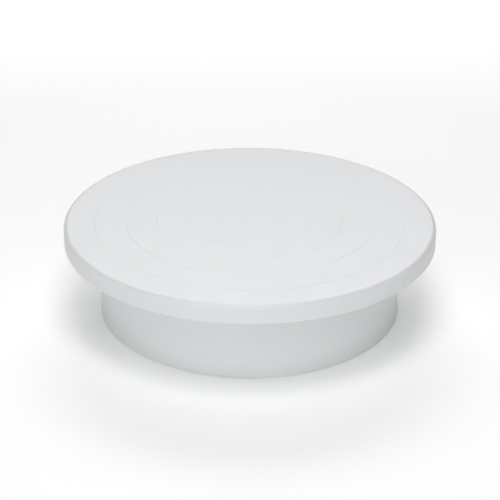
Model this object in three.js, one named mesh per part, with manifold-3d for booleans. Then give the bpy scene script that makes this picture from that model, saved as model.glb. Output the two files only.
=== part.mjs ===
// A cake-decorating turntable: a flat round plate on a ring of balls, turning on a hollow drum base.
// Millimetres, +Z up. The origin is the middle of the surface that the feet stand on.
import * as THREE from "three";
import { mergeVertices } from "three/addons/utils/BufferGeometryUtils.js";
import Module from "manifold-3d";

// ---- Overall sizes ----
const PLATE_DIAMETER = 304.8;
const OVERALL_HEIGHT = 79.2;
const BASE_DIAMETER = 248.8; // across the skirt's lower edge

// ---- Clearances ----
const FIT_GAP = 0.3; // between pieces that seat on, or press into, each other
const BALL_GAP = 0.3; // round a ball, in its tracks and its cage pocket
const RUNNING_GAP = 0.3; // between the spigot and its bush
const END_PLAY = 0.6; // between the retaining washer and the bush
const CAGE_GAP = 0.4; // between the cage and the land of each track

// ---- Top plate ----
const PLATE_SKIN = 3;
const RIM_DEPTH = 15.2; // from the top face to the rim's lower edge
const RIM_WALL = 2.8;
const PLATE_EDGE_RADIUS = 3.6;
const RIM_LIP_RADIUS = 0.8;
const GUIDE_RING_STEP = 25.4; // in radius, so the rings mark every two inches of diameter
const GUIDE_RING_WIDTH = 0.7;
const GUIDE_RING_DEPTH = 0.25;
const GUIDE_RING_MARGIN = 8; // least distance from a ring to the rounded edge
const PLATE_RIB_THICKNESS = 1.8;
const PLATE_RIB_STEP = 0.3; // how far the ribs stop above the land of the upper track
const RIB_SINK = 0.6; // how far a rib runs into the wall that it meets
const INNER_RIB_COUNT = 12;
const OUTER_RIB_COUNT = 24;

// ---- Ball bearing ----
const BALL_DIAMETER = 8;
const BALL_COUNT = 12;
const TRACK_RADIUS = 90;
const TRACK_HALF_WIDTH = 9;
const UPPER_TRACK_ROOF = 1.5; // material between the upper groove and the plate's skin
const LOWER_TRACK_FLOOR = 0.9; // height of the lower groove's bottom above the deck
const CAGE_THICKNESS = 2.4;
const CAGE_HALF_WIDTH = 7;

// ---- Hub ----
const SPIGOT_RADIUS = 7;
const BUSH_WALL = 1.9;
const BUSH_FLANGE_WIDTH = 4.6;
const BUSH_FLANGE_THICKNESS = 1.5;
const HUB_WALL = 2.6;
const HUB_LENGTH = 26; // from the deck's top to the hub tube's lower end
const SCREW_RADIUS = 2.2;
const SCREW_LENGTH = 20;
const SCREW_TIP_LENGTH = 2;
const SCREW_HEAD_RADIUS = 5;
const SCREW_HEAD_HEIGHT = 3;
const RECESS_LENGTH = 5;
const RECESS_WIDTH = 1.2;
const RECESS_DEPTH = 1.6;
const PILOT_SPARE_DEPTH = 2;
const WASHER_RADIUS = 15;
const WASHER_THICKNESS = 1.6;

// ---- Base shell ----
const BASE_WALL = 2.8;
const BASE_FLARE = 2.8; // how much wider the skirt is at its foot than at its top
const BASE_EDGE_RADIUS = 4;
const BASE_FOOT_RADIUS = 0.8; // rounding of the skirt's lower edge
const DECK_THICKNESS = 3;
const BASE_RIB_COUNT = 12;
const BASE_RIB_THICKNESS = 2;
const BASE_RIB_DEPTH = 6;

// ---- Feet ----
const FOOT_COUNT = 6;
const FOOT_RADIUS = 6.5;
const FOOT_THICKNESS = 2.8;
const FOOT_CHAMFER = 0.6;
const FOOT_STAND = 1; // how far the feet stand below the skirt
const FOOT_SIDE_GAP = 0.8; // between a foot's pad and the skirt's inner wall
const FOOT_STEM_RADIUS = 2.9;
const FOOT_STEM_LENGTH = 8;
const FOOT_STEM_TIP = 1.2;
const BOSS_WALL = 2.4;
const BOSS_WEB_THICKNESS = 2;

// ---- Fineness of the faceted surfaces ----
const ROUND_STEPS = 60;
const SMALL_ROUND_STEPS = 24;
const TINY_ROUND_STEPS = 16;
const EDGE_STEPS = 3;
const LIP_STEPS = 1;
const GROOVE_STEPS = 6;
const FLARE_STEPS = 4;
const BALL_DETAIL = 1;

// ---- Sizes and heights worked out from the values above ----
const plateRadius = PLATE_DIAMETER / 2;
const rimInnerRadius = plateRadius - RIM_WALL;
const skinUnderside = OVERALL_HEIGHT - PLATE_SKIN;
const ballRadius = BALL_DIAMETER / 2;
const grooveRadius = ballRadius + BALL_GAP;
const ballHeight = skinUnderside - UPPER_TRACK_ROOF - grooveRadius;
const landOffset = CAGE_THICKNESS / 2 + CAGE_GAP;
const trackInner = TRACK_RADIUS - TRACK_HALF_WIDTH;
const trackOuter = TRACK_RADIUS + TRACK_HALF_WIDTH;
const deckTop = ballHeight - grooveRadius - LOWER_TRACK_FLOOR;
const deckUnderside = deckTop - DECK_THICKNESS;
const bushRadius = SPIGOT_RADIUS + RUNNING_GAP + BUSH_WALL;
const hubBore = bushRadius + FIT_GAP;
const hubRadius = hubBore + HUB_WALL;
const hubBottom = deckTop - HUB_LENGTH;
const washerTop = hubBottom - END_PLAY;
const spigotBottom = washerTop + FIT_GAP;
const pilotRadius = SCREW_RADIUS + FIT_GAP;
const pilotTop = washerTop - WASHER_THICKNESS - FIT_GAP + SCREW_LENGTH + PILOT_SPARE_DEPTH;
const baseRadius = BASE_DIAMETER / 2;
const baseTopRadius = baseRadius - BASE_FLARE;
const skirtTop = deckTop - BASE_EDGE_RADIUS;
const bossRadius = FOOT_STEM_RADIUS + FIT_GAP + BOSS_WALL;
const footCircle = baseRadius - BASE_WALL - FOOT_RADIUS - FOOT_SIDE_GAP;
const bossBottom = FOOT_THICKNESS + FIT_GAP;
const plateRibBottom = ballHeight + landOffset + PLATE_RIB_STEP;
const plateRibTop = skinUnderside + RIB_SINK;
const hoopRibRadius = (trackOuter + rimInnerRadius) / 2;

// ---- Finishes ----
function plastic(colour, roughness) {
  return new THREE.MeshStandardMaterial({ color: colour, roughness, metalness: 0 });
}

function steel(colour, roughness) {
  return new THREE.MeshStandardMaterial({ color: colour, roughness, metalness: 1 });
}

const PLATE_FINISH = plastic(0xf4f5f6, 0.42);
const BASE_FINISH = plastic(0xe9ecec, 0.45);
const CAGE_FINISH = plastic(0xe8e4d8, 0.5);
const BUSH_FINISH = plastic(0xf2efe6, 0.35);
const RUBBER_FINISH = plastic(0x3c3d3f, 0.85);
const BALL_FINISH = steel(0xc9ccd0, 0.15);
const WASHER_FINISH = steel(0xb4b8bc, 0.35);

// ---- Outlines: points of a half section, radius first, height second ----
function point(radius, height) {
  return new THREE.Vector2(radius, height);
}

// Points along an arc about (radius, height), angles in degrees, both ends included.
function arc(radius, height, size, from, to, steps) {
  const points = [];
  for (let i = 0; i <= steps; i += 1) {
    const angle = THREE.MathUtils.degToRad(from + ((to - from) * i) / steps);
    points.push(point(radius + size * Math.cos(angle), height + size * Math.sin(angle)));
  }
  return points;
}

// A solid of revolution about +Z. The half section ends on the axis or closes on itself, and runs
// anticlockwise: from the bottom outwards, then up.
function turned(outline, steps) {
  return new THREE.LatheGeometry(outline, steps).rotateX(Math.PI / 2);
}

// ---- Joining and cutting ----
const wasm = await Module();
wasm.setup();

function solidOf(geometry) {
  const bare = geometry.clone();
  bare.deleteAttribute("normal");
  bare.deleteAttribute("uv");
  const merged = mergeVertices(bare, 1e-3);
  const vertProperties = merged.attributes.position.array;
  const triVerts = new Uint32Array(merged.index.array);
  return new wasm.Manifold(new wasm.Mesh({ numProp: 3, vertProperties, triVerts }));
}

function geometryOf(solid) {
  const mesh = solid.getMesh();
  const geometry = new THREE.BufferGeometry();
  geometry.setAttribute("position", new THREE.BufferAttribute(mesh.vertProperties, 3));
  geometry.setIndex(new THREE.BufferAttribute(mesh.triVerts, 1));
  geometry.computeVertexNormals();
  return geometry;
}

function joined(solids) {
  return solids.reduce((whole, next) => whole.add(next));
}

// Angle of copy number i out of count, with the whole pattern turned by a share of one step.
function stepAngle(i, count, share) {
  return ((i + share) * 2 * Math.PI) / count;
}

// An upright radial wall between two radii and two heights, turned to an angle about +Z.
function radialWall(inner, outer, bottom, top, thickness, angle) {
  const wall = new THREE.BoxGeometry(outer - inner, thickness, top - bottom);
  wall.translate((inner + outer) / 2, 0, (bottom + top) / 2);
  return solidOf(wall.rotateZ(angle));
}

// An upright round post at a radius and an angle about +Z.
function post(size, circle, bottom, top, angle, steps) {
  const cylinder = new THREE.CylinderGeometry(size, size, top - bottom, steps);
  cylinder.rotateX(Math.PI / 2).translate(circle, 0, (bottom + top) / 2);
  return solidOf(cylinder.rotateZ(angle));
}

// ---- Ball tracks ----
// Half section of a track groove, from its outer lip to its inner one; side is 1 above the balls.
function grooveOutline(side) {
  const lip = THREE.MathUtils.radToDeg(Math.asin(landOffset / grooveRadius));
  return arc(TRACK_RADIUS, ballHeight, grooveRadius, side * lip, side * (180 - lip), GROOVE_STEPS);
}

// ---- Top plate ----
function guideRingRadii() {
  const largest = plateRadius - PLATE_EDGE_RADIUS - GUIDE_RING_MARGIN;
  const count = Math.floor(largest / GUIDE_RING_STEP);
  return Array.from({ length: count }, (_, i) => (i + 1) * GUIDE_RING_STEP);
}

// The fine V-shaped guide rings cut into the top face.
function guideRingOutline() {
  return guideRingRadii().flatMap((radius) => [
    point(radius - GUIDE_RING_WIDTH / 2, OVERALL_HEIGHT),
    point(radius, OVERALL_HEIGHT - GUIDE_RING_DEPTH),
    point(radius + GUIDE_RING_WIDTH / 2, OVERALL_HEIGHT),
  ]);
}

function rimOutline() {
  const edgeCentre = plateRadius - PLATE_EDGE_RADIUS;
  const lipHeight = OVERALL_HEIGHT - RIM_DEPTH + RIM_LIP_RADIUS;
  const lipCentre = plateRadius - RIM_LIP_RADIUS;
  return [
    ...arc(edgeCentre, OVERALL_HEIGHT - PLATE_EDGE_RADIUS, PLATE_EDGE_RADIUS, 90, 0, EDGE_STEPS),
    ...arc(lipCentre, lipHeight, RIM_LIP_RADIUS, 0, -90, LIP_STEPS),
    point(rimInnerRadius, OVERALL_HEIGHT - RIM_DEPTH),
    point(rimInnerRadius, skinUnderside),
  ];
}

function hoopRibOutline() {
  const inner = hoopRibRadius - PLATE_RIB_THICKNESS / 2;
  const outer = hoopRibRadius + PLATE_RIB_THICKNESS / 2;
  return [
    point(outer, skinUnderside),
    point(outer, plateRibBottom),
    point(inner, plateRibBottom),
    point(inner, skinUnderside),
  ];
}

function upperTrackOutline() {
  const land = ballHeight + landOffset;
  return [
    point(trackOuter, skinUnderside),
    point(trackOuter, land),
    ...grooveOutline(1),
    point(trackInner, land),
    point(trackInner, skinUnderside),
  ];
}

// The central spigot with its blind pilot hole for the screw.
function spigotSolid() {
  const outline = [
    point(0, pilotTop),
    point(pilotRadius, pilotTop),
    point(pilotRadius, spigotBottom),
    point(SPIGOT_RADIUS, spigotBottom),
    point(SPIGOT_RADIUS, plateRibTop),
    point(0, plateRibTop),
  ];
  return solidOf(turned(outline, SMALL_ROUND_STEPS));
}

// A ring of equal ribs under the plate's skin, between two radii.
function plateRibs(count, share, inner, outer) {
  return Array.from({ length: count }, (_, i) => {
    const angle = stepAngle(i, count, share);
    return radialWall(inner, outer, plateRibBottom, plateRibTop, PLATE_RIB_THICKNESS, angle);
  });
}

function topPlateGeometry() {
  const outline = [
    point(0, OVERALL_HEIGHT),
    ...guideRingOutline(),
    ...rimOutline(),
    ...hoopRibOutline(),
    ...upperTrackOutline(),
    point(0, skinUnderside),
  ];
  const plate = joined([
    solidOf(turned(outline.reverse(), ROUND_STEPS)),
    spigotSolid(),
    ...plateRibs(INNER_RIB_COUNT, 0, SPIGOT_RADIUS - RIB_SINK, trackInner + RIB_SINK),
    ...plateRibs(OUTER_RIB_COUNT, 0.5, trackOuter - RIB_SINK, rimInnerRadius + RIB_SINK),
  ]);
  return geometryOf(plate);
}

// ---- Base shell ----
// The skirt's radius at a share of its height, 0 at its lower edge: straight above, flared below.
function skirtRadius(share) {
  return baseTopRadius + BASE_FLARE * (1 - share) ** 2;
}

// The skirt's curved wall from its top to its foot, moved inwards by an offset.
function skirtOutline(offset, top, bottom) {
  const points = [];
  for (let i = 0; i <= FLARE_STEPS; i += 1) {
    const height = top + ((bottom - top) * i) / FLARE_STEPS;
    const share = (height - FOOT_STAND) / (skirtTop - FOOT_STAND);
    points.push(point(skirtRadius(Math.min(share, 1)) - offset, height));
  }
  return points;
}

function lowerTrackOutline() {
  const land = ballHeight - landOffset;
  return [
    point(trackOuter, deckTop),
    point(trackOuter, land),
    ...grooveOutline(-1),
    point(trackInner, land),
    point(trackInner, deckTop),
  ];
}

function baseShellSolid() {
  const edgeCentre = baseTopRadius - BASE_EDGE_RADIUS;
  const lipHeight = FOOT_STAND + BASE_FOOT_RADIUS;
  const lipCentre = baseRadius - BASE_FOOT_RADIUS;
  const outline = [
    point(hubBore, hubBottom),
    point(hubRadius, hubBottom),
    point(hubRadius, deckUnderside),
    ...skirtOutline(BASE_WALL, deckUnderside, FOOT_STAND),
    ...arc(lipCentre, lipHeight, BASE_FOOT_RADIUS, -90, 0, LIP_STEPS),
    ...skirtOutline(0, lipHeight, skirtTop).slice(1),
    ...arc(edgeCentre, skirtTop, BASE_EDGE_RADIUS, 0, 90, EDGE_STEPS).slice(1),
    ...lowerTrackOutline(),
    point(hubBore, deckTop),
    point(hubBore, hubBottom),
  ];
  return solidOf(turned(outline, ROUND_STEPS));
}

// Everything inside the skirt's wall and under the deck: it trims the ribs and the bosses.
function baseInsideSolid() {
  const reach = BASE_WALL - RIB_SINK;
  const top = deckUnderside + RIB_SINK;
  const outline = [
    point(hubBore + HUB_WALL / 2, bossBottom),
    ...skirtOutline(reach, bossBottom, top),
    point(hubBore + HUB_WALL / 2, top),
    point(hubBore + HUB_WALL / 2, bossBottom),
  ];
  return solidOf(turned(outline, ROUND_STEPS));
}

function baseRibs() {
  const bottom = deckUnderside - BASE_RIB_DEPTH;
  return Array.from({ length: BASE_RIB_COUNT }, (_, i) => {
    const angle = stepAngle(i, BASE_RIB_COUNT, 0);
    return radialWall(hubBore, baseRadius, bottom, deckTop, BASE_RIB_THICKNESS, angle);
  });
}

// A tubular boss that holds a foot's stem, with the web that ties it to the skirt.
function footBosses() {
  return Array.from({ length: FOOT_COUNT }, (_, i) => {
    const angle = stepAngle(i, FOOT_COUNT, 0.5);
    const boss = post(bossRadius, footCircle, bossBottom, deckTop, angle, TINY_ROUND_STEPS);
    const web = radialWall(footCircle, baseRadius, bossBottom, deckTop, BOSS_WEB_THICKNESS, angle);
    return boss.add(web);
  });
}

function footHoles() {
  const size = FOOT_STEM_RADIUS + FIT_GAP;
  const top = FOOT_THICKNESS + FOOT_STEM_LENGTH + BOSS_WALL;
  return Array.from({ length: FOOT_COUNT }, (_, i) =>
    post(size, footCircle, 0, top, stepAngle(i, FOOT_COUNT, 0.5), TINY_ROUND_STEPS),
  );
}

function baseShellGeometry() {
  const inside = joined([...baseRibs(), ...footBosses()]).intersect(baseInsideSolid());
  const shell = baseShellSolid().add(inside).subtract(joined(footHoles()));
  return geometryOf(shell);
}

// ---- Ball cage and balls, about the middle of the bearing ----
function ballCageGeometry() {
  const inner = TRACK_RADIUS - CAGE_HALF_WIDTH;
  const outer = TRACK_RADIUS + CAGE_HALF_WIDTH;
  const half = CAGE_THICKNESS / 2;
  const outline = [
    point(inner, -half),
    point(outer, -half),
    point(outer, half),
    point(inner, half),
    point(inner, -half),
  ];
  const pockets = Array.from({ length: BALL_COUNT }, (_, i) => {
    const angle = stepAngle(i, BALL_COUNT, 0);
    return post(grooveRadius, TRACK_RADIUS, -BALL_DIAMETER, BALL_DIAMETER, angle, TINY_ROUND_STEPS);
  });
  return geometryOf(solidOf(turned(outline, ROUND_STEPS)).subtract(joined(pockets)));
}

function ballGeometry() {
  return new THREE.IcosahedronGeometry(ballRadius, BALL_DETAIL);
}

// ---- Hub pieces, each about its own upper or lower seat ----
// The bush hangs from its flange: height 0 is the flange's underside.
function hubBushGeometry() {
  const bore = SPIGOT_RADIUS + RUNNING_GAP;
  const bottom = -HUB_LENGTH - FIT_GAP;
  const outline = [
    point(bore, bottom),
    point(bushRadius, bottom),
    point(bushRadius, 0),
    point(bushRadius + BUSH_FLANGE_WIDTH, 0),
    point(bushRadius + BUSH_FLANGE_WIDTH, BUSH_FLANGE_THICKNESS),
    point(bore, BUSH_FLANGE_THICKNESS),
    point(bore, bottom),
  ];
  return turned(outline, SMALL_ROUND_STEPS);
}

function washerGeometry() {
  const outline = [
    point(pilotRadius, -WASHER_THICKNESS),
    point(WASHER_RADIUS, -WASHER_THICKNESS),
    point(WASHER_RADIUS, 0),
    point(pilotRadius, 0),
    point(pilotRadius, -WASHER_THICKNESS),
  ];
  return turned(outline, SMALL_ROUND_STEPS);
}

// The screw points up: height 0 is the seat under its pan head.
function screwGeometry() {
  const outline = [
    point(0, -SCREW_HEAD_HEIGHT),
    point(SCREW_HEAD_RADIUS * 0.6, -SCREW_HEAD_HEIGHT),
    point(SCREW_HEAD_RADIUS, -SCREW_HEAD_HEIGHT * 0.4),
    point(SCREW_HEAD_RADIUS, 0),
    point(SCREW_RADIUS, 0),
    point(SCREW_RADIUS, SCREW_LENGTH - SCREW_TIP_LENGTH),
    point(0, SCREW_LENGTH),
  ];
  const slots = [0, Math.PI / 2].map((angle) => {
    const slot = new THREE.BoxGeometry(RECESS_LENGTH, RECESS_WIDTH, RECESS_DEPTH * 2);
    return solidOf(slot.rotateZ(angle).translate(0, 0, -SCREW_HEAD_HEIGHT));
  });
  return geometryOf(solidOf(turned(outline, SMALL_ROUND_STEPS)).subtract(joined(slots)));
}

// A push-in rubber foot: height 0 is the face that stands on the table.
function footGeometry() {
  const outline = [
    point(0, 0),
    point(FOOT_RADIUS - FOOT_CHAMFER, 0),
    point(FOOT_RADIUS, FOOT_CHAMFER),
    point(FOOT_RADIUS, FOOT_THICKNESS),
    point(FOOT_STEM_RADIUS, FOOT_THICKNESS),
    point(FOOT_STEM_RADIUS, FOOT_THICKNESS + FOOT_STEM_LENGTH - FOOT_STEM_TIP),
    point(FOOT_STEM_RADIUS - FOOT_STEM_TIP, FOOT_THICKNESS + FOOT_STEM_LENGTH),
    point(0, FOOT_THICKNESS + FOOT_STEM_LENGTH),
  ];
  return turned(outline, TINY_ROUND_STEPS);
}

// ---- The assembly ----
function piece(name, geometry, finish, height = 0) {
  const mesh = new THREE.Mesh(geometry, finish);
  mesh.name = name;
  mesh.position.z = height;
  return mesh;
}

function around(mesh, circle, angle) {
  mesh.position.x = circle * Math.cos(angle);
  mesh.position.y = circle * Math.sin(angle);
  mesh.rotation.z = angle;
  return mesh;
}

function numbered(stem, i, digits) {
  return `${stem}_${String(i + 1).padStart(digits, "0")}`;
}

function baseGroup() {
  const group = new THREE.Group();
  group.add(piece("base_shell", baseShellGeometry(), BASE_FINISH));
  group.add(piece("hub_bush", hubBushGeometry(), BUSH_FINISH, deckTop + FIT_GAP));
  for (let i = 0; i < FOOT_COUNT; i += 1) {
    const foot = piece(numbered("foot", i, 1), footGeometry(), RUBBER_FINISH);
    group.add(around(foot, footCircle, stepAngle(i, FOOT_COUNT, 0.5)));
  }
  return group;
}

function bearingGroup() {
  const group = new THREE.Group();
  group.position.z = ballHeight;
  group.add(piece("ball_cage", ballCageGeometry(), CAGE_FINISH));
  for (let i = 0; i < BALL_COUNT; i += 1) {
    const ball = piece(numbered("ball", i, 2), ballGeometry(), BALL_FINISH);
    group.add(around(ball, TRACK_RADIUS, stepAngle(i, BALL_COUNT, 0)));
  }
  return group;
}

function plateGroup() {
  const group = new THREE.Group();
  const screwSeat = washerTop - WASHER_THICKNESS - FIT_GAP;
  group.add(piece("top_plate", topPlateGeometry(), PLATE_FINISH));
  group.add(piece("retaining_washer", washerGeometry(), WASHER_FINISH, washerTop));
  group.add(piece("retaining_screw", screwGeometry(), WASHER_FINISH, screwSeat));
  return group;
}

const turntable = new THREE.Group();
turntable.add(baseGroup(), bearingGroup(), plateGroup());

export default turntable;
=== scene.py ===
"""Looks of a cake-decorating turntable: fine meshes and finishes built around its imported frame.

Every length is in metres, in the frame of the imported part: +Z up, -Y the front, and the origin in
the middle of the surface that the feet stand on.
"""

import logging
import math
from collections.abc import Iterable, Sequence
from dataclasses import dataclass, field
from enum import Enum

import bmesh
import bpy
from mathutils import Euler, Matrix, Vector


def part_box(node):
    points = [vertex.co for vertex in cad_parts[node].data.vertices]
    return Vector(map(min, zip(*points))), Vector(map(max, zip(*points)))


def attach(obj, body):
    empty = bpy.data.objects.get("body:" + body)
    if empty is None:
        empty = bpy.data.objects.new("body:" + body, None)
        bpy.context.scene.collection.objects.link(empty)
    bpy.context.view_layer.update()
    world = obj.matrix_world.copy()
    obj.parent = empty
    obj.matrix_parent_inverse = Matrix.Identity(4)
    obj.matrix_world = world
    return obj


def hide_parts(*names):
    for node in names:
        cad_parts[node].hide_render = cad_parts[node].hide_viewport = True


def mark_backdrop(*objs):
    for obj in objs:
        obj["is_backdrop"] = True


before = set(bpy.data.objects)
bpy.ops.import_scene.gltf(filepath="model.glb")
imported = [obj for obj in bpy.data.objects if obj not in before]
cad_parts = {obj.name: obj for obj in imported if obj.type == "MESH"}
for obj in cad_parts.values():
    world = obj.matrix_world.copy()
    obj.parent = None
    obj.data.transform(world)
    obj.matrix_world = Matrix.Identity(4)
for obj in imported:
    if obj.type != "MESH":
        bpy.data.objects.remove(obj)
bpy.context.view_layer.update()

MM = 0.001
FULL_TURN = 2 * math.pi
ON_AXIS = 1e-7  # a smaller radius lies on the axis
UNSUPPORTED = 1.0  # a support distance that no stretch is long enough for
MOST_NOISE = (0.3, 0.7)  # nearly all of a noise lies in this band
MIDDLE_NOISE = (0.35, 0.65)
FINE_SUPPORT = 0.1 * MM
LARGE_STEPS = 240  # steps round the axis of the plate, the base and the cage
RING_STEPS = 96
SMALL_STEPS = 64
HOLE_STEPS = 48
LOG = logging.getLogger("turntable")

Point = tuple[float, float]
Colour = tuple[float, float, float]


# ---------------------------------------------------------------------------
# Outlines: half sections in radius and height
# ---------------------------------------------------------------------------


@dataclass(frozen=True)
class Corner:
    """One corner of a half section, with the radius that rounds it off.

    A smooth corner is a point on a curve: it isn't rounded, and no support point is put beside it.
    """

    radius: float
    height: float
    rounding: float = 0.0
    smooth: bool = False


class Outline:
    """Turns a row of corners into a fine outline with true rounded corners."""

    def __init__(
        self,
        corners: Sequence[Corner],
        closed: bool,
        arc_steps: int = 6,
        support: float = 0.25 * MM,
    ) -> None:
        """Keeps the corners and how finely they are rounded.

        Args:
            corners: The corners in order, anticlockwise seen with the axis on the left.
            closed: Whether the last corner joins the first one.
            arc_steps: Steps in the arc at each rounded corner.
            support: Distance from a corner at which a flat stretch gets an extra point.
        """
        self.corners = list(corners)
        self.closed = closed
        self.arc_steps = arc_steps
        self.support = support

    def points(self) -> list[Point]:
        """The whole outline.

        Returns:
            Radius and height of each point, with rounded corners and supported flats.
        """
        count = len(self.corners)
        rounded: list[list[Point]] = []
        for i, corner in enumerate(self.corners):
            at_end = not self.closed and i in (0, count - 1)
            before, after = self.corners[i - 1], self.corners[(i + 1) % count]
            sharp = [(corner.radius, corner.height)]
            rounded.append(sharp if at_end else self._rounded(before, corner, after))
        runs = rounded + [rounded[0]] if self.closed else rounded
        marks = self.corners + self.corners[:1]
        result: list[Point] = []
        for i, (run, following) in enumerate(zip(runs, runs[1:])):
            result += run
            if not (marks[i].smooth and marks[i + 1].smooth):
                result += self._supports(run[-1], following[0])
        return result if self.closed else result + runs[-1]

    def _rounded(self, before: Corner, corner: Corner, after: Corner) -> list[Point]:
        """One corner as an arc.

        Args:
            before: The corner before it.
            corner: The corner to round.
            after: The corner after it.

        Returns:
            The arc's points, or the bare corner where it has no rounding.
        """
        tip = Vector((corner.radius, corner.height))
        back = Vector((before.radius, before.height)) - tip
        on = Vector((after.radius, after.height)) - tip
        if corner.rounding <= 0 or back.length == 0 or on.length == 0:
            return [tuple(tip)]
        half = back.angle(on) / 2
        reach = corner.rounding / math.tan(half)
        middle = (back.normalized() + on.normalized()).normalized()
        centre = tip + middle * (corner.rounding / math.sin(half))
        first = tip + back.normalized() * reach - centre
        last = tip + on.normalized() * reach - centre
        sweep = first.angle_signed(last)
        turns = (-sweep * i / self.arc_steps for i in range(self.arc_steps + 1))
        return [tuple(centre + Matrix.Rotation(turn, 2) @ first) for turn in turns]

    def _supports(self, start: Point, end: Point) -> list[Point]:
        """Points close to both ends of a flat stretch, so that smooth shading leaves it flat.

        Args:
            start: Where the stretch starts.
            end: Where it ends.

        Returns:
            Two points, one, or none on a very short stretch.
        """
        a, b = Vector(start), Vector(end)
        length = (b - a).length
        if length < 3 * self.support:
            return []
        step = (b - a) * (self.support / length)
        return [tuple(a + step), tuple(b - step)]


# ---------------------------------------------------------------------------
# Meshes
# ---------------------------------------------------------------------------


def linked(name: str, mesh: bpy.types.Mesh) -> bpy.types.Object:
    """Makes an object of a mesh and puts it in the scene.

    Args:
        name: The object's name.
        mesh: Its mesh.

    Returns:
        The new object.
    """
    piece = bpy.data.objects.new(name, mesh)
    bpy.context.scene.collection.objects.link(piece)
    return piece


def mesh_of(name: str, build: bmesh.types.BMesh) -> bpy.types.Mesh:
    """Turns a bmesh into a mesh with its faces pointing out, and frees the bmesh.

    Args:
        name: The mesh's name.
        build: The bmesh.

    Returns:
        The new mesh.
    """
    bmesh.ops.recalc_face_normals(build, faces=build.faces)
    mesh = bpy.data.meshes.new(name)
    build.to_mesh(mesh)
    build.free()
    return mesh


def even_turns(count: int, share: float = 0.0) -> list[float]:
    """Angles spread evenly round the axis, the first one turned by a share of a step."""
    return [FULL_TURN * (i + share) / count for i in range(count)]


def moved_out(piece: bpy.types.Object, turn: float, reach: float) -> bpy.types.Object:
    """Moves a solid made on the axis out by a reach, and then round by a turn in radians."""
    piece.data.transform(Matrix.Rotation(turn, 4, "Z") @ Matrix.Translation((reach, 0, 0)))
    return piece


def turned(name: str, outline: Sequence[Point], steps: int) -> bpy.types.Object:
    """A solid of revolution about +Z.

    Args:
        name: The object's name.
        outline: Radius and height of each point; points on the axis become poles.
        steps: Number of steps round the axis.

    Returns:
        The new object.
    """
    build = bmesh.new()
    rings: list[list[bmesh.types.BMVert]] = []
    for radius, height in outline:
        if radius < ON_AXIS:
            rings.append([build.verts.new((0, 0, height))])
            continue
        spots = [(radius * math.cos(a), radius * math.sin(a), height) for a in even_turns(steps)]
        rings.append([build.verts.new(spot) for spot in spots])
    open_ended = len(rings[0]) == 1 and len(rings[-1]) == 1
    pairs = zip(rings, rings[1:]) if open_ended else zip(rings, rings[1:] + rings[:1])
    for low, high in pairs:
        for i in range(steps):
            j = (i + 1) % steps
            if len(low) == 1:
                build.faces.new((low[0], high[j], high[i]))
            elif len(high) == 1:
                build.faces.new((low[i], low[j], high[0]))
            else:
                build.faces.new((low[i], low[j], high[j], high[i]))
    return linked(name, mesh_of(name, build))


def extruded(
    name: str, section: Sequence[Point], start: float, end: float, turn: float
) -> bpy.types.Object:
    """A straight radial bar: a section in width and height, run from one radius to another.

    Args:
        name: The object's name.
        section: Points of the section, sideways and height.
        start: Radius where the bar starts.
        end: Radius where it ends.
        turn: Angle of the bar about +Z, in radians.

    Returns:
        The new object.
    """
    build = bmesh.new()
    near, far = ([build.verts.new((r, side, up)) for side, up in section] for r in (start, end))
    count = len(section)
    for i in range(count):
        j = (i + 1) % count
        build.faces.new((near[i], near[j], far[j], far[i]))
    build.faces.new(near)
    build.faces.new(far)
    bmesh.ops.rotate(build, cent=(0, 0, 0), matrix=Matrix.Rotation(turn, 3, "Z"), verts=build.verts)
    return linked(name, mesh_of(name, build))


def rib_section(root: float, tip: float, low: float, high: float, rounding: float) -> list[Point]:
    """The section of a drafted rib that hangs from a skin.

    Args:
        root: Width where it meets the skin.
        tip: Width at its lower edge.
        low: Height of its lower edge.
        high: Height of its root.
        rounding: Radius of its two lower edges.

    Returns:
        The section's points, sideways and height, without support points.
    """
    lower = [Corner(side * tip / 2, low, rounding) for side in (-1, 1)]
    upper = [Corner(side * root / 2, high) for side in (1, -1)]
    return Outline(lower + upper, closed=True, arc_steps=4, support=UNSUPPORTED).points()


class Cut(Enum):
    """What one solid does to another."""

    JOIN = "UNION"
    REMOVE = "DIFFERENCE"
    KEEP_SHARED = "INTERSECT"


def combine(
    piece: bpy.types.Object, others: Iterable[bpy.types.Object], how: Cut
) -> bpy.types.Object:
    """Joins solids to a piece, or cuts them from it, and deletes them.

    Args:
        piece: The solid that is changed.
        others: The solids that are joined or cut away.
        how: What they do to it.

    Returns:
        The piece itself.
    """
    for other in others:
        modifier = piece.modifiers.new("combine", "BOOLEAN")
        modifier.operation = how.value
        modifier.solver = "MANIFOLD"
        modifier.object = other
        graph = bpy.context.evaluated_depsgraph_get()
        result = bpy.data.meshes.new_from_object(piece.evaluated_get(graph))
        piece.modifiers.clear()
        old, piece.data = piece.data, result
        bpy.data.meshes.remove(old)
        bpy.data.meshes.remove(other.data)
    return piece


def merged(name: str, pieces: Sequence[bpy.types.Object]) -> bpy.types.Object:
    """Collects solids that stay clear of each other in one object, and deletes them.

    Args:
        name: The new object's name.
        pieces: The solids.

    Returns:
        The new object.
    """
    build = bmesh.new()
    for piece in pieces:
        build.from_mesh(piece.data)
        bpy.data.meshes.remove(piece.data)
    mesh = bpy.data.meshes.new(name)
    build.to_mesh(mesh)
    build.free()
    return linked(name, mesh)


def cleaned(piece: bpy.types.Object, reach: float = 0.002 * MM) -> bpy.types.Object:
    """Takes out the faces without area that joining and cutting leave.

    Args:
        piece: The piece.
        reach: Points closer than this become one.

    Returns:
        The piece itself.
    """
    build = bmesh.new()
    build.from_mesh(piece.data)
    bmesh.ops.remove_doubles(build, verts=build.verts, dist=reach)
    bmesh.ops.dissolve_degenerate(build, dist=reach, edges=build.edges)
    build.to_mesh(piece.data)
    build.free()
    return piece


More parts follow.
